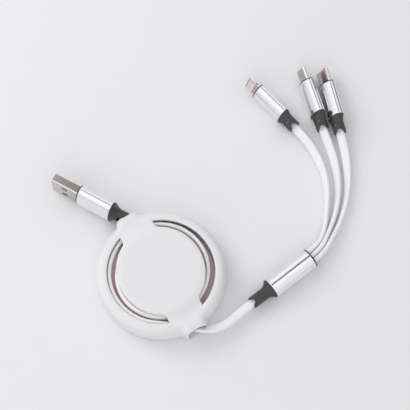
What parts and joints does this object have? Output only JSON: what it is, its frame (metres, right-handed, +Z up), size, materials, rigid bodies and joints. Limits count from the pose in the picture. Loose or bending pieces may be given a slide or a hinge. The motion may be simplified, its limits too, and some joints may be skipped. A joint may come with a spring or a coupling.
{
  "type": "retractable charging cable",
  "caption": "Flat charging cable wound on a spring reel in a round white housing, with an A plug at one end and a splitter with branch plugs at the other.",
  "frame": {"origin": "middle of the housing's underside, where it lies on the table", "axes": "+Z up out of the disc, +Y from the housing towards the branch plugs, +X towards the splitter"},
  "size_m": [0.1369, 0.1315, 0.0148],
  "materials": {
    "housing_white": "soft matte white",
    "reel_plastic": "matte",
    "spring_steel": "plain spring steel",
    "screw_steel": "plated",
    "ball_steel": "polished",
    "cable_white": "smooth matte jacket",
    "sleeve_aluminium": "satin",
    "insert_black": "matte black",
    "relief_black": "matte black",
    "shell_steel": "nickel plated",
    "tab_metal": "nickel plated",
    "tongue_plastic": "moulded",
    "contact_gold": "gold plated"
  },
  "bodies": {
    "housing": {"cover_screw": "screw_steel", "eight_pin_cord": "cable_white", "eight_pin_insert": "insert_black", "eight_pin_pad_1": "contact_gold", "eight_pin_pad_2": "contact_gold", "eight_pin_pad_3": "contact_gold", "eight_pin_pad_4": "contact_gold", "eight_pin_pad_5": "contact_gold", "eight_pin_pad_6": "contact_gold", "eight_pin_pad_7": "contact_gold", "eight_pin_pad_8": "contact_gold", "eight_pin_pad_block": "tongue_plastic", "eight_pin_sleeve": "sleeve_aluminium", "eight_pin_strain_relief": "relief_black", "eight_pin_tab": "tab_metal", "lock_ball": "ball_steel", "lower_cover": "housing_white", "main_cord": "cable_white", "main_lead": "cable_white", "micro_cord": "cable_white", "micro_insert": "insert_black", "micro_shell": "shell_steel", "micro_sleeve": "sleeve_aluminium", "micro_strain_relief": "relief_black", "micro_tongue": "tongue_plastic", "splitter_end_cap": "insert_black", "splitter_sleeve": "sleeve_aluminium", "splitter_strain_relief": "relief_black", "type_c_contact_block": "tongue_plastic", "type_c_cord": "cable_white", "type_c_insert": "insert_black", "type_c_shell": "shell_steel", "type_c_sleeve": "sleeve_aluminium", "type_c_strain_relief": "relief_black", "upper_cover": "housing_white", "usb_contact_1": "contact_gold", "usb_contact_2": "contact_gold", "usb_contact_3": "contact_gold", "usb_contact_4": "contact_gold", "usb_insert": "insert_black", "usb_lead": "cable_white", "usb_shell": "shell_steel", "usb_sleeve": "sleeve_aluminium", "usb_strain_relief": "relief_black", "usb_tongue": "tongue_plastic"},
    "reel": {"reel_drum": "reel_plastic", "reel_top_flange": "reel_plastic", "spiral_spring": "spring_steel", "cable_coil": "cable_white"}
  },
  "joints": [
    {"name": "reel_turn", "type": "hinge", "parent": "housing", "child": "reel", "pos_m": [0, 0, 0.007], "axis": [0, 0, 1], "range_deg": [0, 1080], "stiffness_Nm_per_rad": 0.0006, "springref_deg": -229.18, "deforming": ["spiral_spring"]}
  ]
}
